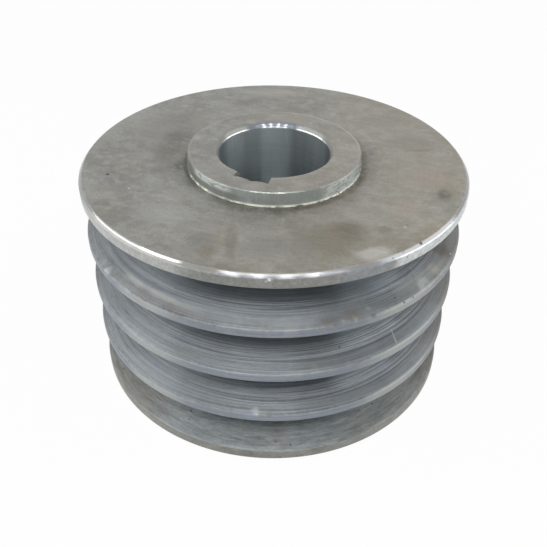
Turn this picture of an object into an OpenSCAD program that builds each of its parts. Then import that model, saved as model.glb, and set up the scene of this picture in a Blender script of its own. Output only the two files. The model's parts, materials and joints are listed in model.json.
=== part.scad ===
// Solid V-belt pulley, turned from one casting: belt grooves round the rim,
// a low boss on the upper face and a keyed bore for the shaft.
// It stands on its flat lower face, with the bore along Z and the keyway towards -Y.

/* [Rim] */
// Outside diameter over the lands
outer_d = 138; // [126:0.5:200]
// Rounding of the outer corner of both end faces
rim_edge_r = 1.2; // [0.3:0.1:2.5]

/* [Belt grooves] */
// Number of grooves
groove_count = 4; // [1:1:8]
// Distance from one groove's middle to the next
groove_pitch = 19; // [18:0.1:26]
// Distance from an end face to the middle of the nearest groove
end_margin = 13; // [11:0.1:18]
// Width of a groove at the outside diameter
groove_w = 16.2; // [13:0.1:16.8]
// Depth of a groove below the outside diameter
groove_depth = 16.5; // [12:0.1:18]
// Angle between the two flanks of a groove
groove_angle = 34; // [30:1:38]
// Radius where the flanks meet the groove floor
groove_root_r = 1.2; // [0.3:0.1:1.5]
// Rounding of the lands' edges
land_r = 0.8; // [0.1:0.1:1]

/* [Boss and face] */
// Diameter of the boss
boss_d = 62; // [56:0.5:80]
// Height of the boss top over the rim's upper corner
boss_h = 4.2; // [2:0.1:30]
// Rounding of the boss's top edge
boss_edge_r = 0.7; // [0.2:0.1:1.5]
// Fillet round the foot of the boss
boss_foot_r = 0.8; // [0.2:0.1:2]
// How far the face falls from the rim to the foot of the boss
face_dish = 1; // [0:0.1:4]

/* [Bore and keyway] */
// Diameter of the shaft bore
bore_d = 40; // [20:0.5:46]
// How far the chamfer at both mouths widens the bore's radius
mouth_widen = 1.2; // [0.3:0.1:2.5]
// Depth of the chamfer at both mouths
mouth_depth = 1.7; // [0.4:0.1:4]
// Width of the keyway
key_w = 12; // [6:0.5:16]
// Depth of the keyway below the bore wall
key_depth = 4.2; // [2:0.1:5]
// Radius in the two bottom corners of the keyway
key_corner_r = 0.5; // [0.2:0.1:1]

/* [Hidden] */

iron_grey = [0.54, 0.55, 0.53];
arc_steps = 4;
overcut = 1;

outer_r = outer_d / 2;
boss_r = boss_d / 2;
bore_r = bore_d / 2;
face_w = (groove_count - 1) * groove_pitch + 2 * end_margin;
total_h = face_w + boss_h;
floor_w = groove_w - 2 * groove_depth * tan(groove_angle / 2);
root_r = outer_r - groove_depth;
// Both root arcs stay within the groove floor
root_arc_r = min(groove_root_r, 0.45 * floor_w * tan(45 + groove_angle / 4));

function unit(v) = v / norm(v);

// Turn from angle a to angle b by the shorter way
function turn(a, b) = (b - a + 540) % 360 - 180;

// Corner c = [r, z, radius] between its neighbours p and n, as the points of an arc
function corner_arc(p, c, n) =
    let (
        at = [c[0], c[1]],
        to_p = unit([p[0], p[1]] - at),
        to_n = unit([n[0], n[1]] - at),
        half = acos(to_p * to_n) / 2,
        mid = at + unit(to_p + to_n) * c[2] / sin(half),
        start = at + to_p * c[2] / tan(half) - mid,
        end = at + to_n * c[2] / tan(half) - mid,
        from = atan2(start[1], start[0]),
        sweep = turn(from, atan2(end[1], end[0]))
    )
    [for (i = [0:arc_steps])
        let (a = from + sweep * i / arc_steps)
        mid + c[2] * [cos(a), sin(a)]];

function rounded(path) =
    let (count = len(path))
    [for (i = [0:count - 1])
        each path[i][2] == 0
            ? [[path[i][0], path[i][1]]]
            : corner_arc(path[(i + count - 1) % count], path[i], path[(i + 1) % count])];

// One groove around height z, from its lower land edge to its upper one
function groove_corners(z) = [
    [outer_r, z - groove_w / 2, land_r],
    [root_r, z - floor_w / 2, root_arc_r],
    [root_r, z + floor_w / 2, root_arc_r],
    [outer_r, z + groove_w / 2, land_r]
];

// Half section of the turned blank, from the axis out and up and back to the axis
function blank_section() = concat(
    [
        [0, 0, 0],
        [outer_r, 0, rim_edge_r]
    ],
    [for (i = [0:groove_count - 1]) each groove_corners(end_margin + i * groove_pitch)],
    [
        [outer_r, face_w, rim_edge_r],
        [boss_r, face_w - face_dish, boss_foot_r],
        [boss_r, total_h, boss_edge_r],
        [0, total_h, 0]
    ]
);

module blank() {
    rotate_extrude($fn = 180)
        polygon(rounded(blank_section()));
}

// Cone that breaks the bore's edge, with its wide end at the mouth
module mouth_chamfer() {
    translate([0, 0, -mouth_depth])
        cylinder(r1 = bore_r, r2 = bore_r + mouth_widen, h = mouth_depth, $fn = 120);
    cylinder(r = bore_r + mouth_widen, h = overcut, $fn = 120);
}

module bore() {
    translate([0, 0, -overcut])
        cylinder(r = bore_r, h = total_h + 2 * overcut, $fn = 120);
    translate([0, 0, total_h])
        mouth_chamfer();
    mirror([0, 0, 1])
        mouth_chamfer();
}

// Slot from the bore's middle out to the keyway floor, with rounded bottom corners
module keyway() {
    floor_y = -(bore_r + key_depth);
    slot = [
        [-key_w / 2, 0, 0],
        [-key_w / 2, floor_y, key_corner_r],
        [key_w / 2, floor_y, key_corner_r],
        [key_w / 2, 0, 0]
    ];
    translate([0, 0, -overcut])
        linear_extrude(total_h + 2 * overcut)
            polygon(rounded(slot));
}

module pulley() {
    color(iron_grey)
        difference() {
            blank();
            bore();
            keyway();
        }
}

pulley();
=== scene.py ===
import json
import math
import random
from types import SimpleNamespace

import bpy
from mathutils import Matrix, Vector


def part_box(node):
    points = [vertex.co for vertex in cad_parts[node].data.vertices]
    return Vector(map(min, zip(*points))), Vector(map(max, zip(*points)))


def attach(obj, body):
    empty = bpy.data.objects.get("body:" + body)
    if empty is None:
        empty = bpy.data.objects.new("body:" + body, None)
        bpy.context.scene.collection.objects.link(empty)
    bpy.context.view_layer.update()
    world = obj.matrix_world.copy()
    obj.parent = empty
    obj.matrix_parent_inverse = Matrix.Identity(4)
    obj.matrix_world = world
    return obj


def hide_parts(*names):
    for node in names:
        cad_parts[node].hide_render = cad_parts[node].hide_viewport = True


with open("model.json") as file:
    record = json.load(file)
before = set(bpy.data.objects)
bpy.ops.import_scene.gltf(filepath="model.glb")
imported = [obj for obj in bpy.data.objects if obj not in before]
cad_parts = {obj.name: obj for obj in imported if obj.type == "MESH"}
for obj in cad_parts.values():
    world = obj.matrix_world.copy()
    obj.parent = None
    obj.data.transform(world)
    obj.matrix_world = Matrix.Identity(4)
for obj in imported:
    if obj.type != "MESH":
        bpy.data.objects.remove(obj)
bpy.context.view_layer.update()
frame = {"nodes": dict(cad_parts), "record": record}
mm = 0.001  # the settings below are in millimetres
print("frame loaded:", ", ".join(frame["nodes"]))


# node helpers, for geometry and shader trees alike
class Field:  # a node's output, for sums with other outputs and with plain numbers
    def __init__(self, socket):
        self.socket = socket
        self.tree = socket.id_data

    def __abs__(self):
        return calc("ABSOLUTE", self)

    def __add__(self, other):
        return calc("ADD", self, other)

    def __sub__(self, other):
        return calc("SUBTRACT", self, other)

    def __rsub__(self, other):
        return calc("SUBTRACT", other, self)

    def __mul__(self, other):
        return calc("MULTIPLY", self, other)

    def __gt__(self, other):
        return calc("GREATER_THAN", self, other)

    def __lt__(self, other):
        return calc("LESS_THAN", self, other)


def treeOf(*values):
    return next(v.tree for v in values if isinstance(v, Field))


def newNode(tree, kind, sockets=None, **props):
    node = tree.nodes.new(kind)
    for name, value in props.items():
        setattr(node, name, value)
    for key, value in (sockets or {}).items():
        if isinstance(value, Field):
            tree.links.new(value.socket, node.inputs[key])
        else:
            node.inputs[key].default_value = value
    return node


def field(tree, kind, sockets=None, out=0, **props):
    return Field(newNode(tree, kind, sockets, **props).outputs[out])


def emptyTree(owner):
    owner.use_nodes = True
    owner.node_tree.nodes.clear()
    return owner.node_tree


def calc(operation, a, b=0.0):
    return field(treeOf(a, b), "ShaderNodeMath", {0: a, 1: b}, operation=operation)


def larger(a, b):
    return calc("MAXIMUM", a, b)


def calcVector(operation, a, b=(0.0, 0.0, 0.0), out="Vector"):
    return field(a.tree, "ShaderNodeVectorMath", {0: a, 1: b}, out, operation=operation)


def scaled(vector, factor):
    return field(vector.tree, "ShaderNodeVectorMath", {0: vector, "Scale": factor}, operation="SCALE")


def length(vector):
    return calcVector("LENGTH", vector, out="Value")


def dot(a, b):
    return calcVector("DOT_PRODUCT", a, b, "Value")


def between(value, low, high, start=0.0, end=1.0):
    return field(value.tree, "ShaderNodeMapRange", {0: value, 1: low, 2: high, 3: start, 4: end},
                 interpolation_type="SMOOTHSTEP")


def window(value, rise, fall):  # up over one pair of limits, down over the other
    return between(value, *rise) * between(value, *fall)


def near(value, centre, far, close):  # 1 this close to a value, 0 when further off
    return between(abs(value - centre), far, close)


def split(vector):
    return [Field(s) for s in newNode(vector.tree, "ShaderNodeSeparateXYZ", {0: vector}).outputs]


def joined(x, y, z):
    return field(treeOf(x, y, z), "ShaderNodeCombineXYZ", {0: x, 1: y, 2: z})


def cloud(vector, scale, detail=3.0, roughness=0.5, out=0):
    sockets = {"Vector": vector, "Scale": scale, "Detail": detail, "Roughness": roughness}
    return field(vector.tree, "ShaderNodeTexNoise", sockets, out)


def spots(vector, scale, detail, roughness, *limits):
    return between(cloud(vector, scale, detail, roughness), *limits)


def drawn(vector, stretch, detail, roughness):
    return cloud(calcVector("MULTIPLY", vector, stretch), 1.0, detail, roughness)


def mixed(factor, a, b):
    return field(factor.tree, "ShaderNodeMix", {0: factor, 2: a, 3: b}, data_type="FLOAT")


def blend(factor, a, b, mode="MIX"):
    a, b = (shade(*colour) if isinstance(colour, tuple) else colour for colour in (a, b))
    sockets = {0: factor, 6: a, 7: b}
    return field(treeOf(factor, a, b), "ShaderNodeMix", sockets, 2, data_type="RGBA", blend_type=mode)


def toned(colour, tone):
    return blend(1.0, colour, joined(tone, tone, tone), "MULTIPLY")


def swing(value, amount):  # a pattern of 0 to 1 turned into a factor about 1
    return value * (2 * amount) + (1 - amount)


def shade(red, green, blue):  # screen colour, 0 to 255, as the shader's linear colour
    def linear(level):
        part = level / 255
        return part / 12.92 if part < 0.04045 else ((part + 0.055) / 1.055) ** 2.4
    return (linear(red), linear(green), linear(blue), 1.0)


def onTurn(angle, radius, height):
    a = math.radians(angle)
    return Vector((radius * math.cos(a), radius * math.sin(a), height))


# pulley, turned from one casting
shaftBore = next(m for m in frame["record"]["mounts"] if m["name"] == "shaft_bore")
low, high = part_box("pulley")
pulley = {
    "outerRadius": min(high[0], -low[0]) / mm,
    "height": high[2] / mm,
    "rimHeight": 83.0,
    "rimBevel": 1.35,
    "grooves": 4,
    "pitch": 19.0,
    "firstGroove": 13.0,
    "grooveWidth": 16.2,
    "grooveDepth": 16.5,
    "grooveAngle": 34.0,
    "rootRound": 1.2,
    "landRound": 0.7,
    "lipRound": 1.0,
    "rimUnderRound": 1.2,
    "wearRadius": 65.3,  # belts have worn the flanks inside this radius
    "wearRun": 0.25,
    "wearDepth": 0.06,
    "bossRadius": 31.0,
    "bossBevel": 0.35,
    "footBevel": 0.25,
    "dish": 1.0,
    "boreRadius": shaftBore["dims"]["r_mm"],
    "mouthWiden": 1.2,
    "mouthDepth": 1.7,
    "keyWidth": 12.0,
    "keyReach": 24.2,
    "deepLine": 2.5,  # a deeper tool line now and then
    "deepShare": 0.12,
    "creaseAngle": 32.0,
    "lipMargin": 0.2,  # the grooves' finish reaches this far past the lips
    "grooveInside": 45.0,  # and in to this radius
    "boreMargin": 2.0,  # the bore's finish reaches this far past the keyway
    "faceSkin": 0.12,  # and stops this far from both faces
    "segments": 256,
    "seed": 7,
}


def grooveCentres(p):
    return [p["firstGroove"] + i * p["pitch"] for i in range(p["grooves"])]


def flankSlope(p):
    return math.tan(math.radians(p["grooveAngle"] / 2))


def cornerArc(before, corner, after, radius, steps):
    toBefore = (Vector(before) - Vector(corner)).normalized()
    toAfter = (Vector(after) - Vector(corner)).normalized()
    half = toBefore.angle(toAfter) / 2
    middle = Vector(corner) + (toBefore + toAfter).normalized() * radius / math.sin(half)
    start = Vector(corner) + toBefore * radius / math.tan(half) - middle
    end = Vector(corner) + toAfter * radius / math.tan(half) - middle
    first = math.atan2(start.y, start.x)
    sweep = (math.atan2(end.y, end.x) - first + math.pi) % (2 * math.pi) - math.pi
    turns = [first + sweep * i / steps for i in range(steps + 1)]
    return [middle + radius * Vector((math.cos(a), math.sin(a))) for a in turns]


def sectionCorners(p):
    # each corner: radius from the axis, height, rounding, spacing and ripple of the run that follows it
    outer, top, rim = p["outerRadius"], p["height"], p["rimHeight"]
    slope = flankSlope(p)
    root, worn = outer - p["grooveDepth"], p["wearRadius"]
    wornIn = worn - p["wearRun"]
    topHalf = p["grooveWidth"] / 2
    floorHalf = topHalf - p["grooveDepth"] * slope
    wornHalf = topHalf - (outer - worn) * slope
    wornInHalf = wornHalf - p["wearRun"] * slope + p["wearDepth"]
    mouth = p["boreRadius"] + p["mouthWiden"]
    foot = rim - p["dish"]
    boss, bevel = p["bossRadius"], p["rimBevel"]
    bead = boss + p["footBevel"]
    corners = [
        (mouth, 0.0, 0.2, 6.0, 0.01),
        (outer - bevel, 0.0, 0.3, 1.0, 0.0),
        (outer, bevel, 0.3, 1.2, 0.012),
    ]
    centres = grooveCentres(p)
    for z in centres:
        upperRound = p["rimUnderRound"] if z == centres[-1] else p["landRound"]
        corners += [
            (outer, z - topHalf, p["lipRound"], 0.9, 0.012),
            (worn, z - wornHalf, 0.1, 0.5, 0.0),
            (wornIn, z - wornInHalf, 0.1, 0.8, 0.015),
            (root, z - floorHalf, p["rootRound"], 1.2, 0.02),
            (root, z + floorHalf, p["rootRound"], 0.9, 0.015),
            (wornIn, z + wornInHalf, 0.1, 0.5, 0.0),
            (worn, z + wornHalf, 0.1, 0.9, 0.012),
            (outer, z + topHalf, upperRound, 1.0, 0.012),
        ]
    corners += [
        (outer, rim - bevel, 0.3, 1.0, 0.0),
        (outer - bevel, rim, 0.3, 2.0, 0.012),
        (bead + 1.5, foot + 0.04, 0.6, 0.8, 0.0),
        (bead + 0.15, foot - 0.18, 0.12, 0.5, 0.0),
        (bead, foot + 0.05, 0.08, 1.0, 0.0),
        (boss, foot + 0.4, 0.1, 1.0, 0.008),
        (boss, top - p["bossBevel"], 0.2, 1.0, 0.0),
        (boss - p["bossBevel"], top, 0.2, 2.0, 0.006),
        (mouth, top, 0.15, 0.9, 0.004),
        (p["boreRadius"], top - p["mouthDepth"], 0.35, 8.0, 0.004),
        (p["boreRadius"], p["mouthDepth"], 0.35, 0.9, 0.004),
    ]
    return corners


def sectionLoop(p):
    rnd = random.Random(p["seed"])
    corners = sectionCorners(p)
    count = len(corners)
    arcs = []
    for i, corner in enumerate(corners):
        before, after, rounding = corners[i - 1], corners[(i + 1) % count], corner[2]
        steps = 4 if rounding > 0.5 else 3 if rounding > 0.15 else 1  # finer on the larger roundings
        arcs.append(cornerArc(before[:2], corner[:2], after[:2], rounding, steps))
    loop = []
    for i, corner in enumerate(corners):
        spacing, ripple = corner[3:]
        loop += arcs[i]
        start, end = arcs[i][-1], arcs[(i + 1) % count][0]
        run = end - start
        steps = max(1, round(run.length / spacing))
        side = Vector((run.y, -run.x)).normalized()
        for k in range(1, steps):
            cut = p["deepLine"] if rnd.random() < p["deepShare"] else 1.0
            loop.append(start + run * k / steps - side * ripple * cut * rnd.random())
    return loop


chips = {
    # chips and pores: angle round the axis, radius, height, size and how dark they are filled
    "placed": [
        (-30.8, 68.2, 82.75, 0.66, 0.75), (-37.5, 68.3, 82.85, 0.45, 0.3), (-40.6, 68.6, 82.4, 0.4, 0.1),
        (-157.0, 68.3, 82.85, 0.4, 0.2), (-158.6, 68.3, 82.85, 0.34, 0.2), (-155.8, 68.3, 82.8, 0.3, 0.1),
        (-149.0, 58.9, 82.75, 0.42, 0.9), (-148.7, 59.1, 82.8, 0.2, 0.9),
        (89.0, 47.6, 82.45, 0.26, 0.8), (91.5, 44.0, 82.4, 0.2, 0.7),
        (-27.0, 31.4, 82.3, 0.4, 0.9), (-29.5, 31.4, 82.3, 0.3, 0.8),
        (-34.0, 31.4, 82.2, 0.28, 0.7), (-121.0, 31.4, 82.2, 0.28, 0.5),
        (-34.2, 62.0, 64.1, 0.25, 0.7), (-35.7, 66.0, 62.8, 0.28, 0.6),
        (-34.2, 68.7, 62.0, 0.35, 0.7), (-30.7, 68.7, 62.0, 0.28, 0.6),
        (-50.5, 61.7, 45.1, 0.34, 0.9), (-33.5, 61.3, 7.3, 0.34, 0.9),
        (-48.0, 69.0, 21.4, 0.25, 0.7), (-39.4, 60.7, 7.4, 0.26, 0.7),
        (-69.9, 65.4, 6.0, 0.28, 0.7), (-65.4, 66.7, 5.6, 0.28, 0.7),
        (-68.7, 69.0, 1.9, 0.32, 0.8), (-67.1, 69.0, 1.4, 0.3, 0.8),
        (-100.4, 60.4, 7.5, 0.36, 0.8), (-99.3, 63.6, 6.6, 0.3, 0.7),
        (-133.9, 65.9, 5.8, 0.3, 0.6), (-125.2, 67.7, 24.3, 0.26, 0.6), (-135.5, 64.8, 25.2, 0.26, 0.5),
    ],
    "perEdge": 6,
    "edgeInset": 0.4,
    "scatter": 0.3,
    "size": (0.1, 0.26),
    "dark": (0.1, 0.5),
    "pores": 60,
    "poreInward": (0.5, 11.0),
    "poreSize": (0.1, 0.18),
    "poreDark": (0.2, 0.6),
    "stretch": (0.7, 1.5),
    "seed": 21,
}


def chipSpots(p, c):
    rnd = random.Random(c["seed"])
    spread = list(c["placed"])
    outer, half, slope = p["outerRadius"], p["grooveWidth"] / 2, flankSlope(p)
    centres = grooveCentres(p)
    edges = [c["edgeInset"], p["rimHeight"] - c["edgeInset"]]
    for z in centres:
        edges += [z - half, z + half]
    for z in edges:
        for k in range(c["perEdge"]):
            size = rnd.uniform(*c["size"])
            angle = rnd.uniform(-180, 180)
            radius = outer - rnd.uniform(0.0, c["scatter"])
            height = z + rnd.uniform(-c["scatter"], c["scatter"])
            spread.append((angle, radius, height, size, rnd.uniform(*c["dark"])))
    for k in range(c["pores"]):  # open pores of the casting, on the lower flanks
        z = centres[rnd.randrange(p["grooves"])] - half
        inward = rnd.uniform(*c["poreInward"])
        angle = rnd.uniform(-180, 180)
        size = rnd.uniform(*c["poreSize"])
        spread.append((angle, outer - inward, z + inward * slope, size, rnd.uniform(*c["poreDark"])))
    return spread


keyMouth = {
    # the keyway's upper end is broken out along this outline
    "outline": [
        (-5.2, -16.0), (-6.8, -20.1), (-5.9, -20.9), (-6.4, -21.7), (-7.25, -23.3), (-6.1, -23.7),
        (-4.6, -23.6), (-2.9, -23.8), (-1.2, -24.3), (0.3, -24.95), (2.0, -24.5), (4.0, -24.2),
        (6.0, -24.75), (6.35, -24.6), (6.1, -23.2), (6.0, -21.2), (5.7, -16.0),
    ],
    "depth": 1.6,
    "floorFrom": -22.5,  # points beyond this run down to the keyway's floor
    "sideMargin": 0.2,
    "overTop": 1.0,
    "barOverlap": 0.1,
}


def looseMesh(name, points, edges=(), faces=()):
    mesh = bpy.data.meshes.new(name)
    mesh.from_pydata([tuple(v) for v in points], list(edges), list(faces))
    obj = bpy.data.objects.new(name, mesh)
    bpy.context.scene.collection.objects.link(obj)
    return obj


def makeMouthCutter(p, k):
    half, reach, top = p["keyWidth"] / 2, p["keyReach"], p["height"]
    upper = k["outline"]
    lower = []
    for x, y in upper:
        onFloor = y < k["floorFrom"] and abs(x) < half - k["sideMargin"]
        lower.append((max(-half, min(half, x)), -reach if onFloor else max(-reach, y)))
    count = len(upper)
    levels = [(lower, top - k["depth"]), (upper, top), (upper, top + k["overTop"])]
    points = [Vector((x, y, z)) * mm for ring, z in levels for x, y in ring]
    faces = [list(range(count))[::-1], [2 * count + i for i in range(count)]]
    for base in (0, count):
        for i in range(count):
            j = (i + 1) % count
            faces.append([base + i, base + j, base + count + j, base + count + i])
    return looseMesh("keyMouth", points, faces=faces)


def spinTree():
    tree = bpy.data.node_groups.new("spinSection", "GeometryNodeTree")
    tree.interface.new_socket("Geometry", in_out="OUTPUT", socket_type="NodeSocketGeometry")
    inputs = {
        "Geometry": ["Geometry"],
        "Float": ["Turn radius", "Height", "Key width", "Key reach", "Bar top", "Bore zone", "Groove low",
                  "Groove high", "Groove inside", "Face skin", "Crease angle",
                  "Least stretch", "Most stretch"],
        "Int": ["Segments", "Seed"],
        "Object": ["Key mouth", "Chip spots"],
        "Material": ["Face finish", "Groove finish", "Bore finish"],
    }
    for kind, names in inputs.items():
        for name in names:
            tree.interface.new_socket(name, in_out="INPUT", socket_type="NodeSocket" + kind)
    given = {s.name: Field(s) for s in newNode(tree, "NodeGroupInput").outputs if s.name}

    # the section swept round the axis
    circle = field(tree, "GeometryNodeCurvePrimitiveCircle",
                   {"Resolution": given["Segments"], "Radius": given["Turn radius"]})
    section = field(tree, "GeometryNodeMeshToCurve", {"Mesh": given["Geometry"]})
    body = field(tree, "GeometryNodeCurveToMesh", {"Curve": circle, "Profile Curve": section})

    # keyway bar, from below the lower face up to the broken mouth
    below = 0.1
    barSize = joined(given["Key width"], given["Key reach"], given["Bar top"] * (1 + below))
    barPlace = joined(0.0, given["Key reach"] * -0.5, given["Bar top"] * ((1 - below) / 2))
    bar = field(tree, "GeometryNodeMeshCube", {"Size": barSize})
    bar = field(tree, "GeometryNodeTransform", {"Geometry": bar, "Translation": barPlace})
    mouth = field(tree, "GeometryNodeObjectInfo", {"Object": given["Key mouth"]}, "Geometry")

    # chips: small rough stones that bite the surface
    fullTurn = 6.28
    points = field(tree, "GeometryNodeObjectInfo", {"Object": given["Chip spots"]}, "Geometry")
    stone = field(tree, "GeometryNodeMeshIcoSphere", {"Radius": 1.0, "Subdivisions": 2})
    least, most = (joined(*[given[name]] * 3) for name in ("Least stretch", "Most stretch"))
    turn, stretch = (field(tree, "FunctionNodeRandomValue", {0: start, 1: end, "Seed": given["Seed"]},
                           data_type="FLOAT_VECTOR")
                     for start, end in (((0.0,) * 3, (fullTurn,) * 3), (least, most)))
    size, dark = (field(tree, "GeometryNodeInputNamedAttribute", {"Name": name}, data_type="FLOAT")
                  for name in ("size", "dark"))
    stones = field(tree, "GeometryNodeInstanceOnPoints",
                   {"Points": points, "Instance": stone, "Rotation": turn, "Scale": scaled(stretch, size)})
    stones = field(tree, "GeometryNodeRealizeInstances", {"Geometry": stones})
    # the cut leaves each chip's dirt on the faces that it makes
    stones = field(tree, "GeometryNodeStoreNamedAttribute",
                   {"Geometry": stones, "Name": "grime", "Value": dark}, data_type="FLOAT", domain="FACE")

    for cutter in (bar, mouth, stones):
        body = field(tree, "GeometryNodeMeshBoolean", {"Mesh 1": body, "Mesh 2": cutter},
                     operation="DIFFERENCE", solver="MANIFOLD")
    body = field(tree, "GeometryNodeSetShadeSmooth", {"Geometry": body, "Shade Smooth": True}, domain="FACE")
    bend = field(tree, "GeometryNodeInputMeshEdgeAngle", out="Unsigned Angle")
    crease = {"Geometry": body, "Selection": bend > given["Crease angle"], "Shade Smooth": False}
    body = field(tree, "GeometryNodeSetShadeSmooth", crease, domain="EDGE")
    body = field(tree, "GeometryNodeRealizeInstances", {"Geometry": body})

    # finish by place: face everywhere, then grooves, then bore and keyway
    x, y, z = split(field(tree, "GeometryNodeInputPosition"))
    radius = length(joined(x, y, 0.0))
    inGroove = (z > given["Groove low"]) * (z < given["Groove high"]) * (radius > given["Groove inside"])
    belowTop = z < given["Height"] - given["Face skin"]
    inBore = belowTop * (radius < given["Bore zone"]) * (z > given["Face skin"])
    for name, zone in (("Face finish", True), ("Groove finish", inGroove), ("Bore finish", inBore)):
        body = field(tree, "GeometryNodeSetMaterial",
                     {"Geometry": body, "Selection": zone, "Material": given[name]})
    newNode(tree, "NodeGroupOutput", {0: body})
    return tree


def makePulley(p, c, k, finishes):
    turnRadius = p["boreRadius"]
    loop = [Vector((v.x - turnRadius, -v.y, 0.0)) * mm for v in reversed(sectionLoop(p))]
    count = len(loop)
    source = looseMesh("pulleySection", loop, [(i, (i + 1) % count) for i in range(count)])
    spread = chipSpots(p, c)
    chipObj = looseMesh("chipSpots", [onTurn(*s[:3]) * mm for s in spread])
    for name, column, unit in (("size", 3, mm), ("dark", 4, 1.0)):
        layer = chipObj.data.attributes.new(name, "FLOAT", "POINT")
        for i, s in enumerate(spread):
            layer.data[i].value = s[column] * unit
    mouthObj = makeMouthCutter(p, k)

    tree = spinTree()
    modifier = source.modifiers.new("spin", "NODES")
    modifier.node_group = tree
    half, margin = p["grooveWidth"] / 2, p["lipMargin"]
    lengths = {
        "Turn radius": turnRadius,
        "Height": p["height"],
        "Key width": p["keyWidth"],
        "Key reach": p["keyReach"],
        "Bar top": p["height"] - k["depth"] + k["barOverlap"],
        "Bore zone": p["keyReach"] + p["boreMargin"],
        "Groove low": p["firstGroove"] - half - margin,
        "Groove high": grooveCentres(p)[-1] + half + margin,
        "Groove inside": p["grooveInside"],
        "Face skin": p["faceSkin"],
    }
    values = {
        "Crease angle": math.radians(p["creaseAngle"]),
        "Least stretch": c["stretch"][0],
        "Most stretch": c["stretch"][1],
        "Segments": p["segments"],
        "Seed": c["seed"],
        "Key mouth": mouthObj,
        "Chip spots": chipObj,
        "Face finish": finishes["face"],
        "Groove finish": finishes["groove"],
        "Bore finish": finishes["bore"],
    }
    values.update({name: size * mm for name, size in lengths.items()})
    for item in tree.interface.items_tree:
        if item.in_out == "INPUT" and item.name in values:
            modifier[item.identifier] = values[item.name]
    depsgraph = bpy.context.evaluated_depsgraph_get()
    mesh = bpy.data.meshes.new_from_object(source.evaluated_get(depsgraph))
    mesh.name = "turnedPulley"
    piece = bpy.data.objects.new("turnedPulley", mesh)
    bpy.context.scene.collection.objects.link(piece)
    for spare in (source, chipObj, mouthObj):
        bpy.data.objects.remove(spare)
    return piece


# iron finishes: angles are round the axis from +X, in degrees
frontAngle = -71.5  # middle of the side that the photograph shows
backAngle = frontAngle + 180.0
keyAngle = -90.0


def startFinish(name):
    material = bpy.data.materials.new(name)
    tree = emptyTree(material)
    point = scaled(field(tree, "ShaderNodeTexCoord", out="Object"), 1 / mm)
    x, y, z = split(point)
    flat = joined(x, y, 0.0)
    grime = field(tree, "ShaderNodeAttribute", out="Fac", attribute_name="grime")
    around = calcVector("NORMALIZE", flat)
    return material, SimpleNamespace(point=point, x=x, z=z, radius=length(flat), around=around, grime=grime)


def closeFinish(at, sockets):
    tree = at.point.tree
    tangent = field(tree, "ShaderNodeTangent", direction_type="RADIAL", axis="Z")
    gloss = {"Tangent": tangent, "Anisotropic Rotation": 0.25}  # spreads across the turning lines
    shader = field(tree, "ShaderNodeBsdfPrincipled", {**sockets, **gloss})
    newNode(tree, "ShaderNodeOutputMaterial", {0: shader})


def rings(at, path, closeness, spread, detail=3.0, roughness=0.6):
    ax, ay = split(scaled(at.around, spread))[:2]
    return cloud(joined(path * closeness, ax, ay), 1.0, detail, roughness)


def bumped(height, distance, strength):
    sockets = {"Strength": strength, "Distance": distance * mm, "Height": height}
    return field(height.tree, "ShaderNodeBump", sockets)


def warped(point, scale, reach):
    shift = calcVector("SUBTRACT", cloud(point, scale, 4.0, 0.6, "Color"), (0.5, 0.5, 0.5))
    return calcVector("ADD", point, scaled(shift, reach))


def patch(point, centre, halves, turn=0.0):
    core = 0.25  # share of the half size that is full
    sockets = {"Vector": point, "Location": centre, "Rotation": (0, 0, math.radians(turn)), "Scale": halves}
    away = length(field(point.tree, "ShaderNodeMapping", sockets, vector_type="TEXTURE"))
    return between(away, 1.0, core)


def scratch(point, start, end, width):
    along = end - start
    fromStart = calcVector("SUBTRACT", point, start)
    away = length(calcVector("CROSS_PRODUCT", fromStart, along.normalized()))
    share = dot(fromStart, along / along.length_squared)
    return between(away, width, width * 0.3) * window(share, (-0.05, 0.1), (1.05, 0.9))


def facing(at, angle, reach, fade):  # 1 on the turn within so many degrees of an angle
    aim = dot(at.around, onTurn(angle, 1.0, 0.0))
    return between(aim, math.cos(math.radians(reach + fade)), math.cos(math.radians(reach)))


def filmed(colour, at, zone, films):  # angle, reach and fade in degrees, colour and strength
    for angle, reach, fade, filmColour, strength in films:
        colour = blend(facing(at, angle, reach, fade) * zone * strength, colour, filmColour)
    return colour


def dabbed(colour, point, dabs):  # angle, radius, height, half size, colour and strength
    for angle, radius, height, half, dabColour, strength in dabs:
        mask = patch(point, onTurn(angle, radius, height), (half, half, half))
        colour = blend(mask * strength, colour, dabColour)
    return colour


def layered(colour, f, layers):  # pattern, levels where it starts and is full, share, name of the colour
    for pattern, start, full, share, name in layers:
        colour = blend(between(pattern, start, full) * share, colour, f[name])
    return colour


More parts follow.
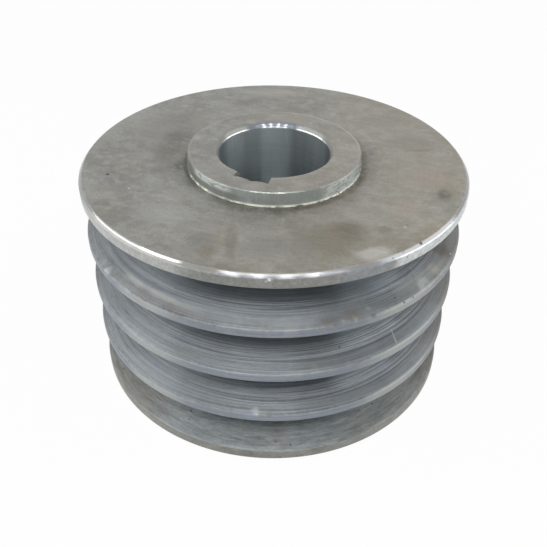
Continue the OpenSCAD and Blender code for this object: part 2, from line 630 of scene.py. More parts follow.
faceIron = {
    "base": (151, 151, 146),
    "dark": (120, 119, 112),
    "pale": (172, 171, 166),
    "olive": (158, 149, 130),
    "dirt": (70, 70, 62),
    "wall": (173, 181, 178),
    "glint": (226, 232, 230),
    "edge": (150, 153, 157),
    "wornEdge": (158, 156, 150),
    "foot": (212, 215, 197),
    "level": 0.885,
    "metallic": 0.35,
    "roughness": 0.42,
    "edgeRoughness": 0.14,
    # clouds: scale, detail, roughness, levels where they start and end, and what they give there
    "drift": (0.035, 4.0, 0.55, 0.4, 0.62, 0.0, 0.6),
    "mottle": (0.15, 6.0, 0.72, 0.48, 0.66, 0.0, 0.5),
    "tint": (0.06, 5.0, 0.6, 0.48, 0.72, 0.0, 0.3),
    "blot": (0.17, 6.0, 0.7, 0.42, 0.66),
    "halo": (0.14, 5.0, 0.65, 0.34, 0.6, 0.0, 0.6),
    "crumbs": (0.5, 5.0, 0.75, 0.38, 0.58, 0.3, 1.0),
    "specks": (0.85, 2.0, 0.6, 0.67, 0.75, 0.0, 0.45),
    "rimMottle": (0.7, 5.0, 0.75, 0.35, 0.65, -0.16, 0.16),
    "edgeCloud": (0.3, 4.0, 0.7, 0.4, 0.58, 0.15, 1.0),
    "footCloud": (0.3, 4.0, 0.7, 0.4, 0.6),
    "grain": (1.6, 4.0, 0.75),
    "stainDepth": 6.0,
    # stains and patches of painted sheen on the face: place, half sizes, turn, colour and strength
    "stains": [
        ((61.1, -4.3), (3.1, 5.2), 20, (88, 80, 70), 0.7),
        ((61.5, -3.6), (1.1, 1.6), 20, (150, 141, 127), 0.5),
        ((-0.2, -60.8), (5.6, 4.4), -72, (120, 110, 90), 0.5),
        ((4.5, -53.6), (13.0, 2.8), -72, (114, 106, 94), 0.5),
        ((0.9, -54.0), (12.0, 2.0), -72, (150, 143, 122), 0.45),
        ((12.5, -45.5), (9.0, 4.5), -72, (158, 159, 154), 0.4),
        ((-22.5, -47.0), (13.0, 9.0), 0, (164, 164, 160), 0.5),
        ((-19.0, 57.0), (15.0, 5.0), 18, (168, 167, 160), 0.5),
        ((31.0, -43.0), (14.5, 13.0), 18, (128, 123, 108), 0.8),
        ((35.6, -33.3), (8.0, 4.2), 18, (118, 111, 97), 0.7),
        ((34.2, -36.9), (10.0, 1.3), 14, (138, 116, 108), 0.6),
        ((46.4, -31.6), (4.2, 2.6), 18, (122, 116, 98), 0.6),
        ((46.0, -45.4), (8.0, 4.8), 30, (192, 190, 183), 0.9),
        ((-47.0, 10.0), (17.0, 22.0), 10, (134, 133, 127), 0.7),
        ((-37.0, -9.0), (10.0, 15.0), 20, (124, 122, 114), 0.6),
        ((19.0, -51.0), (17.0, 9.0), 18, (138, 138, 132), 0.6),
        ((44.0, 30.0), (14.0, 10.0), 30, (140, 135, 124), 0.6),
        ((55.0, 8.0), (9.0, 16.0), 10, (158, 151, 138), 0.6),
        ((-26.8, 43.7), (9.0, 4.0), 30, (114, 112, 104), 0.5),
        ((-41.0, 4.7), (8.0, 6.0), 80, (112, 108, 98), 0.5),
        ((-39.5, -7.7), (6.0, 7.0), 0, (114, 111, 104), 0.45),
        ((-46.2, -14.3), (6.0, 5.0), 0, (162, 160, 154), 0.4),
        ((-20.9, 56.0), (16.0, 6.0), 20, (166, 164, 156), 0.45),
        ((64.1, -10.5), (3.0, 9.0), 10, (136, 142, 132), 0.4),
        ((-4.5, -56.0), (7.0, 8.0), 10, (124, 124, 117), 0.5),
        ((38.0, -37.0), (8.0, 7.0), 20, (112, 107, 95), 0.5),
        ((56.0, -26.5), (8.0, 3.0), 60, (170, 168, 160), 0.6),
        ((52.5, -28.3), (0.8, 0.6), 0, (196, 196, 188), 0.8),
        ((-38.8, -36.4), (0.7, 0.6), 0, (212, 212, 204), 0.9),
        ((10.5, -36.3), (3.2, 0.4), -72, (178, 181, 176), 0.5),
        ((15.5, -36.3), (3.2, 0.4), -72, (178, 181, 176), 0.5),
        ((53.9, 4.6), (12.0, 9.0), 20, (166, 152, 142), 0.45),
        ((41.0, 10.7), (9.0, 3.0), 20, (146, 142, 124), 0.5),
        ((48.0, 25.0), (7.0, 1.5), 20, (122, 116, 104), 0.5),
        ((30.0, 46.0), (18.0, 9.0), 30, (140, 135, 125), 0.5),
        ((49.7, -16.8), (9.0, 7.0), 20, (172, 162, 152), 0.45),
    ],
    # dirt smeared out from the foot of the boss: place, half sizes, turn and strength
    "footDirt": [
        ((-29.5, -15.5), (5.0, 6.0), 30, 0.9),
        ((-38.0, 3.0), (12.0, 16.0), 10, 0.5),
        ((-46.0, 20.0), (12.0, 7.0), 40, 0.3),
        ((30.5, 17.5), (6.0, 4.0), 60, 0.5),
        ((34.5, 4.0), (4.0, 7.0), 0, 0.35),
        ((31.0, -18.0), (6.0, 4.0), 60, 0.45),
        ((7.4, -32.4), (17.0, 4.0), 13, 0.85),
        ((-41.0, 6.0), (5.0, 6.0), 0, 0.35),
    ],
    # dirt lodged along the foot of the boss: angle, reach and fade, width, colour and strength
    "lodged": [
        (-14.0, 42.0, 14.0, 4.2, (94, 83, 70), 0.7),
        (-164.0, 18.0, 12.0, 2.4, (78, 75, 66), 0.9),
    ],
    # darker places of the boss's side: angle, reach and fade, share at the top, colour and strength
    "wallDirt": [
        (-160.0, 18.0, 14.0, 1.0, (124, 120, 113), 0.65),
        (-116.0, 16.0, 14.0, 0.0, (128, 126, 121), 0.6),
        (24.0, 14.0, 12.0, 0.8, (134, 134, 125), 0.6),
    ],
    # places on the turn: angle, reach and fade
    "rightGlint": (-19.0, 15.0, 10.0),
    "leftGlint": (-116.0, 10.0, 10.0),
    "browLight": (58.0, 34.0, 12.0),
    "wornBevel": (-122.0, 24.0, 12.0),
    "bareBevel": (-130.0, 24.0, 14.0),
    "dirtyFoot": (-166.0, 20.0, 6.0),
    "edgeGaps": [(-90.0, 4.2, 2.0)],
    # painted highlight on the upper half of the bevel, and bright places of the rim, partly rubbed and partly
    # painted reflection: angle, reach and fade, colour and strength
    "edgeShine": [(-100.5, 5.0, 2.0, (232, 232, 230), 0.8)],
    "rubbed": [
        (-16.0, 21.0, 5.0, (214, 219, 219), 0.95),
        (-48.5, 5.0, 5.0, (146, 151, 157), 0.8),
        (-140.0, 18.0, 9.0, (192, 194, 200), 0.85),
        (-84.0, 28.0, 10.0, (144, 147, 145), 0.6),
        (-114.0, 14.0, 9.0, (189, 190, 187), 0.85),
    ],
    # nicks in the rim, the bright ones painted glints: angle, radius, height, half size, colour and strength
    "nicks": [
        (-72.3, 69.0, 81.5, 0.75, (244, 246, 248), 0.9),
        (-73.1, 69.0, 81.0, 0.5, (220, 222, 224), 0.7),
        (-38.8, 69.0, 80.4, 0.7, (206, 210, 208), 0.7),
        (-36.4, 69.0, 81.0, 0.6, (118, 114, 108), 0.7),
    ],
}


def makeFaceFinish(f, p):
    material, at = startFinish("facedIron")
    point, radius, z = at.point, at.radius, at.z
    rim, top, boss, outer = p["rimHeight"], p["height"], p["bossRadius"], p["outerRadius"]
    soft = warped(point, 0.22, 5.0)
    blot = spots(point, *f["blot"])
    grain = cloud(point, *f["grain"])
    strokes = drawn(soft, (0.06, 0.5, 0.5), 4.0, 0.65)
    lines = rings(at, radius, 2.4, 1.6)
    onFace = window(z, (rim - 2.0, rim - 1.4), (rim + 0.4, rim + 0.1))
    rightSide = between(at.x, -30.0, 60.0) * between(z, 40.0, 60.0)

    # stained face, with painted sheen in places
    colour = blend(spots(point, *f["drift"]), f["base"], f["dark"])
    colour = blend(spots(point, *f["mottle"]), colour, f["dark"])
    colour = blend(spots(point, *f["tint"]) + rightSide * 0.55, colour, f["olive"])
    colour = blend(blot * 0.6, colour, f["pale"])
    for centre, halves, turn, stainAndSheenColour, strength in f["stains"]:
        mask = patch(soft, (*centre, rim), (*halves, f["stainDepth"]), turn)
        colour = blend(mask * strength * onFace, colour, stainAndSheenColour)
    # dirt and painted shade round the foot of the boss
    halo = between(radius, boss + 5.5, boss + 1.2) * spots(point, *f["halo"])
    crumbs = spots(point, *f["crumbs"])
    for angle, reach, fade, width, dirtColour, strength in f["lodged"]:
        mask = between(radius, boss + width, boss + 0.4 * width) * facing(at, angle, reach, fade)
        colour = blend(mask * crumbs * strength * onFace, colour, dirtColour)
    for centre, halves, turn, strength in f["footDirt"]:
        mask = patch(soft, (*centre, rim), (*halves, f["stainDepth"]), turn)
        halo = larger(halo, mask * strength * crumbs)
    colour = blend(halo * onFace * 0.8, colour, f["dirt"])
    colour = blend(spots(point, *f["specks"]), colour, f["dirt"])
    colour = toned(colour, swing(grain, 0.3) * swing(lines, 0.1) * swing(strokes, 0.24) * f["level"])

    # side of the boss, rubbed clean, with painted glints and darker places
    wall = window(radius, (boss - 0.3, boss - 0.1), (boss + 0.25, boss + 0.1))
    smears = drawn(point, (0.5, 0.5, 0.2), 4.0, 0.65)
    colour = blend(wall * 0.92, colour, toned(f["wall"], swing(smears, 0.4)))
    # painted glints: bright specks of highlight on the side of the boss
    glints = between(drawn(point, (0.3, 0.3, 0.9), 4.0, 0.65), 0.35, 0.53)
    upperGlints = between(glints, 0.0, 0.7) * between(z, top - 3.4, top - 1.6)
    shining = larger(facing(at, *f["rightGlint"]) * glints * 0.95, facing(at, *f["leftGlint"]) * upperGlints)
    colour = blend(wall * shining, colour, f["glint"])
    wallFoot = between(z, rim + 2.6, rim + 0.8)
    for angle, reach, fade, atTop, wallColour, strength in f["wallDirt"]:
        dull = wall * facing(at, angle, reach, fade) * strength
        colour = blend(dull * between(wallFoot, 0.0, 1.0, atTop, 1.0), colour, wallColour)
    # painted highlight in a thin ring at the top edge of the boss, stronger towards one side
    brow = between(radius, boss - 1.1, boss - 0.6) * between(z, top - 0.4, top - 0.2)
    browShine = between(facing(at, *f["browLight"]), 0.0, 1.0, 0.3, 0.8)
    colour = blend(brow * browShine, colour, f["pale"])

    # bevel of the rim
    bevel, blur = p["rimBevel"] + 0.2, 0.25
    onBevel = between(radius, outer - bevel, outer - bevel + blur)
    rimEdge = onBevel * window(z, (rim - bevel, rim - bevel + blur), (rim - 0.15, rim - 0.4))
    # gaps where the rim's bevel is painted dark and left unpolished, as painted shade, so that it shows no
    # highlight
    for angle, reach, fade in f["edgeGaps"]:
        gap = facing(at, angle, reach, fade)
        colour = blend(rimEdge * gap * 0.6, colour, f["dark"])
        rimEdge = rimEdge * (1.0 - gap * 0.85)
    colour = blend(rimEdge * 0.85, colour, f["edge"])
    # upper rim, rubbed bright in places, with painted reflection
    onRim = between(radius, outer - 0.5, outer - 0.25) * between(z, rim - 8.0, rim - 7.0)
    colour = filmed(colour, at, onRim * swing(grain, 0.25), f["rubbed"])
    colour = toned(colour, onRim * spots(point, *f["rimMottle"]) + 1.0)
    colour = dabbed(colour, point, f["nicks"])
    # top edge of the boss, polished in front, and painted darker elsewhere to hold back its highlight
    onEdge = between(radius, boss - 0.5, boss - 0.4) * between(z, top - 0.5, top - 0.4)
    frontShare = between(facing(at, frontAngle, 22.0, 12.0), 0.0, 1.0, 0.3, 1.0)
    bossEdge = onEdge * spots(point, *f["edgeCloud"]) * frontShare
    colour = blend(onEdge * (1.0 - facing(at, frontAngle, 14.0, 10.0)) * 0.55, colour, f["dark"])
    # where the bevel is worn, its lower half is painted duller and its upper half gets a painted highlight
    worn = facing(at, *f["wornBevel"]) * between(z, rim - 0.6, rim - 0.85)
    colour = blend(rimEdge * worn * 0.8, colour, f["wornEdge"])
    rimEdge = rimEdge * (1.0 - worn * 0.9)
    upperHalf = onBevel * window(z, (rim - 0.75, rim - 0.6), (rim - 0.05, rim - 0.2))
    colour = filmed(colour, at, upperHalf, f["edgeShine"])
    # bead at the foot of the boss, its bright line a painted highlight, left out on part of the turn
    foot = window(radius, (boss - 0.1, boss + 0.05), (boss + 0.45, boss + 0.32))
    foot = foot * between(z, rim - 0.4, rim - 0.6) * spots(point, *f["footCloud"])
    colour = blend(foot * (1.0 - facing(at, *f["dirtyFoot"])), colour, f["foot"])
    colour = blend(at.grime * 0.9, colour, f["dirt"])

    polish = larger(rimEdge, bossEdge)
    bare = rimEdge * facing(at, *f["bareBevel"])
    closeFinish(at, {
        "Base Color": colour,
        "Metallic": bare * 0.4 + f["metallic"],
        "Roughness": mixed(polish, blot * 0.1 + f["roughness"], f["edgeRoughness"]),
        "Anisotropic": 0.3,
        "Normal": bumped(grain * 0.6 + lines * 0.5, 0.03, 0.7),
    })
    return material


grooveIron = {
    "base": (160, 166, 171),
    "line": (112, 117, 123),
    "bright": (194, 200, 205),
    "root": (116, 121, 126),
    "worn": (154, 158, 160),
    "brown": (140, 132, 122),
    "pale": (182, 187, 184),
    "land": (137, 145, 157),
    "landAside": (180, 184, 180),
    "rough": (146, 154, 152),
    "dirt": (58, 60, 60),
    "metallic": 0.22,
    "specular": 0.25,
    "roughness": 0.34,
    # turning lines: closeness, spread round the turn, detail and roughness
    "bands": (0.22, 0.5, 2.0, 0.6),
    "fine": (1.4, 1.2, 1.0, 0.6),
    "hair": (2.1, 3.0, 1.0, 0.6),
    "flecks": (1.5, 14.0, 2.0, 0.6),
    "crust": (0.6, 9.0, 5.0, 0.75),
    # clouds: scale, detail, roughness, levels where they start and end, and what they give there
    "grain": (1.5, 4.0, 0.75),
    "blot": (0.12, 5.0, 0.65),
    "dapple": (0.5, 5.0, 0.75),
    "stepCloud": (2.6, 3.0, 0.5, 0.4, 0.62),
    "lipCloud": (0.25, 4.0, 0.7, 0.42, 0.62),
    "brownCloud": (0.09, 5.0, 0.7, 0.5, 0.68, 0.0, 0.38),
    # heights between which the lowest flank's roughness and the uppermost flank's rubbing come in
    "lowest": (14.0, 7.0),
    "upper": (52.0, 60.0),
    # places on the turn: angle, reach and fade
    "dulled": (-135.0, 32.0, 12.0),
    "paleLands": (-72.0, 38.0, 20.0),
    "darkLands": (-134.0, 12.0, 8.0),
    "brightLips": (-20.0, 16.0, 10.0),
    # darker tints round the sides, and films on the lowest flank: angle, reach and fade, colour and strength
    "films": [
        (18.0, 20.0, 20.0, (112, 107, 101), 0.6),
        (-172.0, 16.0, 18.0, (112, 112, 111), 0.5),
    ],
    "lowFilms": [
        (-18.0, 18.0, 24.0, (106, 101, 91), 0.32),
        (-142.0, 24.0, 18.0, (132, 127, 119), 0.6),
    ],
    # sectors of painted light and shade: angle, reach and fade, change of tone at the root and at the lip
    "sectors": [
        (-93.0, 4.0, 8.0, -0.12, -0.12),
        (-48.0, 9.0, 10.0, -0.17, -0.17),
        (-39.5, 5.0, 9.0, 0.5, 0.0),
        (-34.0, 14.0, 8.0, 0.0, -0.06),
        (-140.0, 12.0, 14.0, -0.18, -0.16),
        (-18.0, 14.0, 10.0, -0.13, -0.13),
    ],
    # rubbed arcs, and arcs of painted light and shade: angle, reach and fade, radius, half width, height,
    # colour and strength
    "arcs": [
        (-109.0, 7.0, 5.0, 64.6, 1.0, 63.2, (198, 200, 193), 0.85),
        (-99.0, 4.0, 6.0, 65.0, 1.0, 63.1, (186, 188, 180), 0.7),
        (-106.0, 12.0, 10.0, 67.0, 1.1, 62.4, (146, 142, 137), 0.5),
        (-72.0, 18.0, 12.0, 64.5, 4.0, 63.0, (182, 188, 194), 0.3),
        (-65.0, 3.5, 4.0, 66.4, 1.4, 62.7, (190, 195, 206), 0.6),
        (-48.5, 5.0, 7.0, 61.5, 7.0, 64.2, (118, 124, 126), 0.5),
        (-27.0, 4.0, 5.0, 64.5, 2.6, 63.2, (178, 184, 180), 0.5),
        (-20.0, 6.0, 5.0, 65.8, 1.8, 62.8, (190, 190, 182), 0.4),
        (-42.0, 14.0, 12.0, 66.0, 2.4, 62.6, (126, 130, 131), 0.4),
        (-42.0, 14.0, 12.0, 66.0, 2.4, 43.6, (126, 130, 133), 0.4),
        (-42.0, 14.0, 12.0, 66.0, 2.4, 24.6, (126, 130, 133), 0.4),
    ],
    # radii of the dark scored lines, one for each groove from the lowest up
    "scores": [61.0, 63.3, 60.6, 62.6],
    # worn patches, a few of them painted glints: angle, radius, height, half size, colour and strength
    "patches": [
        (-125.0, 68.0, 62.2, 2.2, (186, 190, 190), 0.8),
        (-129.5, 67.5, 62.3, 2.0, (172, 174, 172), 0.6),
        (-49.7, 67.9, 62.2, 1.4, (176, 178, 172), 0.8),
        (-53.2, 67.8, 62.3, 1.2, (172, 175, 170), 0.7),
        (-44.8, 65.7, 62.9, 1.3, (168, 168, 160), 0.6),
        (-23.6, 66.2, 62.7, 2.8, (196, 202, 198), 0.75),
        (-25.6, 67.3, 62.4, 2.2, (190, 198, 194), 0.65),
        (-17.0, 65.5, 62.9, 3.0, (186, 182, 172), 0.6),
        (-49.9, 66.1, 62.8, 3.4, (140, 128, 116), 0.5),
        (-19.7, 68.8, 61.9, 4.0, (118, 111, 104), 0.25),
        (-57.0, 67.4, 62.4, 2.4, (140, 130, 120), 0.35),
        (-66.5, 66.8, 62.7, 4.0, (172, 175, 174), 0.6),
        (-72.0, 66.2, 62.8, 4.5, (166, 169, 168), 0.5),
        (-62.0, 66.5, 62.7, 3.0, (168, 170, 168), 0.5),
        (-75.8, 67.6, 24.3, 2.1, (196, 202, 200), 0.8),
        (-72.0, 68.4, 23.8, 1.8, (134, 126, 112), 0.5),
        (-77.5, 69.0, 23.4, 3.0, (158, 164, 184), 0.5),
        (-44.2, 68.8, 61.9, 1.3, (104, 106, 106), 0.6),
        (-110.0, 67.0, 62.5, 4.0, (132, 128, 120), 0.2),
        (-96.0, 66.5, 43.6, 4.0, (150, 154, 150), 0.5),
        (-60.0, 67.0, 43.5, 2.4, (160, 160, 150), 0.5),
        (-7.0, 64.0, 63.4, 5.0, (100, 92, 84), 0.6),
        (-6.5, 67.5, 62.3, 0.8, (214, 214, 208), 0.8),
    ],
    # light scratches over the turning lines: angle, radius and height at both ends, width and strength
    "scratches": [
        ((-22.6, 59.9, 64.7), (-24.2, 65.3, 63.0), 0.3, 0.5),
        ((-25.2, 62.0, 64.0), (-27.4, 63.9, 63.5), 0.25, 0.45),
        ((-31.6, 62.7, 44.8), (-33.6, 67.7, 43.3), 0.34, 0.9),
    ],
}


def makeGrooveFinish(f, p):
    material, at = startFinish("turnedIron")
    point, radius, z = at.point, at.radius, at.z
    outer, wear = p["outerRadius"], p["wearRadius"]
    path = radius - z * 2.1  # differs from groove to groove
    bands, fine, hair, flecks, crust = (
        rings(at, path, *f[name]) for name in ("bands", "fine", "hair", "flecks", "crust"))
    grain = cloud(point, *f["grain"])
    blot = cloud(point, *f["blot"])
    soft = warped(point, 0.3, 3.0)
    scuffs = drawn(soft, (0.4, 0.4, 0.7), 5.0, 0.7)
    lowest = between(z, *f["lowest"])
    wornZone = between(radius, wear - 0.3, wear + 0.3)
    turned = 1.0 - larger(wornZone * 0.25, lowest * 0.75)
    turned = turned * between(radius, outer - 13.0, outer - 8.0, 0.5, 1.0)
    turned = turned * (1.0 - facing(at, *f["dulled"]) * 0.45)
    rubbed = wornZone * between(z, *f["upper"], 0.3, 1.0)
    nearLip = between(radius, outer - 7.0, outer - 1.0) * between(z, *f["upper"], 0.45, 1.0)
    nearLip = larger(nearLip, lowest)

    # turning lines, then what belts and handling have left on them
    colour = layered(f["base"], f, [
        (bands, 0.4, 0.68, 0.3, "bright"),
        (fine, 0.53, 0.63, turned * 0.75, "line"),
        (fine, 0.46, 0.37, turned * 0.65, "bright"),
    ])
    colour = blend(rubbed * 0.25, colour, f["worn"])
    colour = layered(colour, f, [
        (blot, 0.54, 0.64, rubbed * 0.45, "brown"),
        (blot, 0.44, 0.34, rubbed * 0.5, "pale"),
        (flecks, 0.58, 0.7, 0.4, "pale"),
        (flecks, 0.42, 0.3, 0.4, "line"),
        (scuffs, 0.54, 0.66, nearLip * 0.45, "pale"),
        (scuffs, 0.46, 0.34, nearLip * 0.45, "line"),
    ])
    stepLine = near(radius, wear, 0.35, 0.1) * spots(at.around, *f["stepCloud"])
    colour = blend(stepLine * 0.5, colour, f["pale"])
    for centre, scoreRadius in zip(grooveCentres(p), f["scores"]):
        score = near(radius, scoreRadius, 0.28, 0.1) * near(z, centre - 5.0, 4.0, 3.0)
        colour = blend(score * 0.5, colour, f["line"])
    aside = 1.0 - facing(at, frontAngle, 20.0, 14.0)
    # painted shade towards the roots of the grooves, weaker on the sides and stronger in the lower grooves
    root = between(radius, outer - 8.0, outer - p["grooveDepth"] + 1.0)
    root = root * (0.6 - aside * 0.5) * between(z, 55.0, 40.0, 1.0, 1.5)
    colour = blend(root, colour, f["root"])
    # painted light and shade: paler and darker sectors of the turn
    gain = 1.0
    outward = between(radius, outer - 9.0, outer - 4.0)
    for angle, reach, fade, atRoot, atLip in f["sectors"]:
        gain = facing(at, angle, reach, fade) * between(outward, 0.0, 1.0, atRoot, atLip) + gain
    # the lips' rounding painted darker, as painted shade
    lipZone = window(radius, (outer - 1.1, outer - 0.7), (outer - 0.03, outer - 0.2))
    colour = toned(colour, gain * (1.0 - lipZone * 0.2))

    # lands between the grooves, and their lips; the lands painted paler on the sides, as painted light
    land = between(radius, outer - 0.4, outer - 0.1)
    colour = blend(land * 0.6, colour, f["land"])
    sideLand = land * aside * facing(at, *f["paleLands"]) * (1.0 - facing(at, *f["darkLands"]))
    colour = blend(sideLand * swing(blot, 0.25) * 0.8, colour, f["landAside"])
    # painted highlight along the lips, on one side of the front
    overLip = z - (p["firstGroove"] - p["grooveWidth"] / 2)
    ridge = between(calc("PINGPONG", overLip, p["pitch"] / 2), 0.6, 0.3)
    ridge = ridge * between(radius, outer - 1.0, outer - 0.7) * facing(at, *f["brightLips"])
    colour = blend(ridge * swing(blot, 0.3) * 0.7, colour, f["landAside"])
    for angle, reach, fade, r, half, height, arcColour, strength in f["arcs"]:
        arc = near(radius, r, half, half * 0.4) * near(z, height, 3.0, 2.0) * facing(at, angle, reach, fade)
        colour = blend(arc * strength, colour, arcColour)
    lip = window(radius, (outer - 1.3, outer - 0.7), (outer - 0.1, outer - 0.4))
    colour = blend(lip * spots(point, *f["lipCloud"]) * 0.2, colour, f["pale"])

    # the lowest flank is left rough, and brown in places
    colour = blend(lowest * 0.5, colour, f["rough"])
    colour = blend(lowest * spots(point, *f["brownCloud"]), colour, f["brown"])
    colour = filmed(colour, at, lowest * swing(scuffs, 0.5), f["lowFilms"])
    colour = filmed(colour, at, 1.0, f["films"])
    colour = dabbed(colour, soft, f["patches"])
    for start, end, width, strength in f["scratches"]:
        mask = scratch(point, onTurn(*start), onTurn(*end), width)
        colour = blend(mask * strength, colour, f["pale"])
    tone = swing(grain, 0.18) * swing(hair, 0.2) * swing(cloud(point, *f["dapple"]), 0.12)
    colour = toned(colour, tone * (lowest * between(crust, 0.35, 0.65, -0.2, 0.2) + 1.0))
    colour = blend(at.grime * 0.65, colour, f["dirt"])
    closeFinish(at, {
        "Base Color": colour,
        "Metallic": f["metallic"],
        "Specular IOR Level": f["specular"],
        "Roughness": blot * 0.16 + f["roughness"],
        "Anisotropic": 0.5,
        "Normal": bumped(fine * turned + hair * 0.3 + grain * 0.4, 0.05, 0.7),
    })
    return material


boreIron = {
    "base": (170, 180, 182),
    "line": (164, 174, 176),
    "edge": (132, 138, 147),
    "edgeSide": (146, 146, 142),
    "mouthLine": (226, 229, 232),
    "broken": (138, 135, 128),
    "dirt": (60, 62, 62),
    # turning lines and streaks along the shaft: closeness, spread round the turn and detail
    "fine": (1.6, 0.8, 2.0),
    "hair": (4.2, 1.4, 2.0),
    "streaks": (0.02, 3.2, 3.0),
    "blot": (0.16, 4.0, 0.6),  # scale, detail and roughness
    # gaps in the painted highlight round the mouth: angle, reach and fade
    "lineGaps": [(130.0, 5.0, 4.0), (90.0, 3.0, 4.0)],
    # burnished and dull bands along the shaft, partly painted reflection and shade: angle, reach and fade,
    # tone
    "bands": [
        (56.0, 28.0, 12.0, 0.62), (12.0, 12.0, 22.0, 0.5), (112.0, 7.0, 8.0, 1.12),
        (158.0, 6.0, 8.0, 1.12), (135.0, 5.0, 8.0, 0.9), (200.0, 12.0, 24.0, 0.5),
    ],
    "oil": 0.5,
    "oilDepth": (9.0, 36.0),
    "metallic": 0.4,
    "roughness": 0.3,
    "edgeRoughness": 0.16,
}


def makeBoreFinish(f, p):
    material, at = startFinish("boredIron")
    radius, z = at.radius, at.z
    top, bore = p["height"], p["boreRadius"]
    mouth, mouthFoot = bore + p["mouthWiden"], top - p["mouthDepth"]
    fine, hair, streaks = (rings(at, z, *f[name]) for name in ("fine", "hair", "streaks"))
    colour = blend(between(fine, 0.4, 0.66), f["base"], f["line"])

    # chamfer of the mouth, polished at the back, and the painted highlight line below it
    edge = between(z, mouthFoot - 0.3, mouthFoot + 0.1) * between(radius, mouth + 0.3, mouth + 0.1)
    backEdge = facing(at, backAngle, 16.0, 24.0)
    colour = blend(edge, colour, blend(backEdge, f["edgeSide"], f["edge"]))
    mouthLine = between(radius, bore + 0.35, bore + 0.2) * between(z, mouthFoot - 0.35, mouthFoot - 0.15)
    mouthLine = mouthLine * facing(at, backAngle, 62.0, 12.0)
    for angle, reach, fade in f["lineGaps"]:
        mouthLine = mouthLine * (1.0 - facing(at, angle, reach, fade))

    # tone of the bore, with painted shade deeper down, less at the back
    tone = swing(hair, 0.1) * swing(cloud(at.point, *f["blot"]), 0.1) * swing(streaks, 0.3)
    shadeStart, shadeEnd = f["oilDepth"]
    deep = between(z, top - shadeStart, top - shadeEnd) * (1.0 - facing(at, backAngle, 7.0, 10.0) * 0.9)
    tone = tone * (1.0 - deep * f["oil"])
    for angle, reach, fade, level in f["bands"]:
        tone = tone * (facing(at, angle, reach, fade) * (level - 1.0) + 1.0)
    colour = toned(colour, mixed(edge, tone, 1.0))
    colour = blend(mouthLine * 0.8, colour, f["mouthLine"])
    # the broken keyway mouth, its own duller colour and painted shade
    broken = between(z, top - 2.4, top - 1.5) * facing(at, keyAngle, 19.0, 4.0)
    colour = blend(broken * 0.65, colour, f["broken"])
    colour = blend(at.grime * 0.8, colour, f["dirt"])
    polish = edge * larger(backEdge, mouthLine)
    closeFinish(at, {
        "Base Color": colour,
        "Metallic": f["metallic"],
        "Roughness": mixed(polish, fine * 0.12 + f["roughness"], f["edgeRoughness"]),
        "Anisotropic": 0.8,
        "Normal": bumped(fine + hair * 0.5, 0.015, 0.25),
    })
    return material


finishes = {
    "face": makeFaceFinish(faceIron, pulley),
    "groove": makeGrooveFinish(grooveIron, pulley),
    "bore": makeBoreFinish(boreIron, pulley),
}
piece = makePulley(pulley, chips, keyMouth, finishes)
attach(piece, "root")
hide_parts("pulley")
triangles = sum(len(f.vertices) - 2 for f in piece.data.polygons)
print("pulley turned:", len(piece.data.vertices), "points,", triangles, "triangles")


# floor and light
studio = {
    "viewAzimuth": 18.5,
    "floorRadius": 3000.0,
    "floorDrop": 0.05,
    "floorGrey": 0.92,
    "floorWhite": 0.965,  # share of plain white in the floor the camera sees, the rest takes the shadow
    "ambient": 0.16,
    "lampAim": 45.0,
    # four tubes before a dim panel over the viewer, a long window on each side, a low one behind:
    # azimuth from the view, elevation, distance, size, slant, watts and places side by side
    "lamps": {
        "frontTube": (0.0, 54.0, 800.0, (40.0, 260.0), 0.0, 0.4, (-240.0, -80.0, 80.0, 240.0)),
        "frontPanel": (0.0, 53.0, 830.0, (960.0, 70.0), 0.0, 0.7, (0.0,)),
        "leftWindow": (-86.0, 34.0, 900.0, (940.0, 380.0), 28.0, 3.5, (0.0,)),
        "rightWindow": (92.0, 31.0, 900.0, (760.0, 380.0), -28.0, 2.3, (0.0,)),
        "backWindow": (180.0, 17.0, 1000.0, (900.0, 260.0), 0.0, 0.35, (0.0,)),
    },
}
white = (1.0, 1.0, 1.0, 1.0)


def seenFactor(tree):
    path = newNode(tree, "ShaderNodeLightPath").outputs
    camera, glossy, through = (Field(path[f"Is {kind} Ray"]) for kind in ("Camera", "Glossy", "Transmission"))
    return larger(larger(camera, glossy), through)


def makeFloor(s):
    bpy.ops.mesh.primitive_circle_add(vertices=64, radius=s["floorRadius"] * mm, fill_type="NGON",
                                      location=(0, 0, -s["floorDrop"] * mm))
    floor = bpy.context.object
    floor.name = "floor"
    material = bpy.data.materials.new("paleFloor")
    tree = emptyTree(material)
    matte = field(tree, "ShaderNodeBsdfDiffuse", {"Color": (s["floorGrey"],) * 3 + (1.0,)})
    glow = field(tree, "ShaderNodeEmission", {"Color": white, "Strength": 1.0})
    mix = field(tree, "ShaderNodeMixShader", {0: seenFactor(tree) * s["floorWhite"], 1: matte, 2: glow})
    newNode(tree, "ShaderNodeOutputMaterial", {0: mix})
    floor.data.materials.append(material)


def makeWorld(s):
    world = bpy.data.worlds.new("studioWorld")
    bpy.context.scene.world = world
    tree = emptyTree(world)
    dim, full = (field(tree, "ShaderNodeBackground", {"Color": white, "Strength": strength})
                 for strength in (s["ambient"], 1.0))
    mix = field(tree, "ShaderNodeMixShader", {0: seenFactor(tree), 1: dim, 2: full})
    newNode(tree, "ShaderNodeOutputWorld", {0: mix})


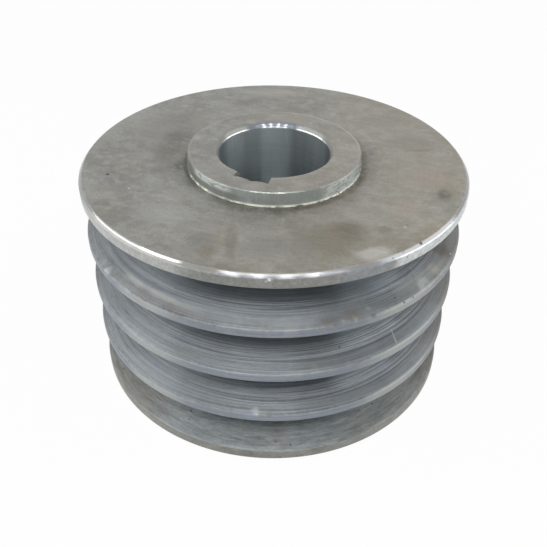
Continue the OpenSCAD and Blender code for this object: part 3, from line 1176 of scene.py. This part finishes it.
def makeLamps(s):
    aim = Vector((0, 0, s["lampAim"] * mm))
    for name, (azimuth, elevation, distance, size, slant, watts, offsets) in s["lamps"].items():
        a, e = math.radians(s["viewAzimuth"] + azimuth), math.radians(elevation)
        toLamp = Vector((math.sin(a) * math.cos(e), -math.cos(a) * math.cos(e), math.sin(e)))
        turn = toLamp.to_track_quat("Z", "Y").to_matrix().to_4x4()
        turn = turn @ Matrix.Rotation(math.radians(slant), 4, "Z")
        for i, offset in enumerate(offsets):
            light = bpy.data.lights.new(name + str(i), "AREA")
            light.shape = "RECTANGLE"
            light.size, light.size_y = size[0] * mm, size[1] * mm
            light.energy = watts
            lamp = bpy.data.objects.new(name + str(i), light)
            bpy.context.scene.collection.objects.link(lamp)
            place = aim + toLamp * distance * mm + turn.col[0].to_3d() * offset * mm
            lamp.matrix_world = Matrix.Translation(place) @ turn


makeFloor(studio)
makeWorld(studio)
makeLamps(studio)
bpy.context.scene.view_settings.view_transform = "Standard"
print("stage and lamps set")


# camera, fitted to the photograph's outline
view = {
    "azimuth": studio["viewAzimuth"],
    "standOff": 217.05,
    "height": 198.2,
    "aimHeight": 30.6,
    "aimSide": 0.28,
    "roll": 0.8,
    "lens": 44.23,
}


def makeCamera(v):
    data = bpy.data.cameras.new("camera")
    data.sensor_fit = "HORIZONTAL"
    data.sensor_width = 36.0
    data.lens = v["lens"]
    data.clip_start = 0.01
    camera = bpy.data.objects.new("camera", data)
    bpy.context.scene.collection.objects.link(camera)
    a = math.radians(v["azimuth"])
    place = Vector((math.sin(a) * v["standOff"], -math.cos(a) * v["standOff"], v["height"])) * mm
    aim = Vector((math.cos(a) * v["aimSide"], math.sin(a) * v["aimSide"], v["aimHeight"])) * mm
    turn = (aim - place).to_track_quat("-Z", "Y").to_matrix().to_4x4()
    turn = turn @ Matrix.Rotation(math.radians(v["roll"]), 4, "Z")
    camera.matrix_world = Matrix.Translation(place) @ turn
    bpy.context.scene.camera = camera


makeCamera(view)
print("camera set")
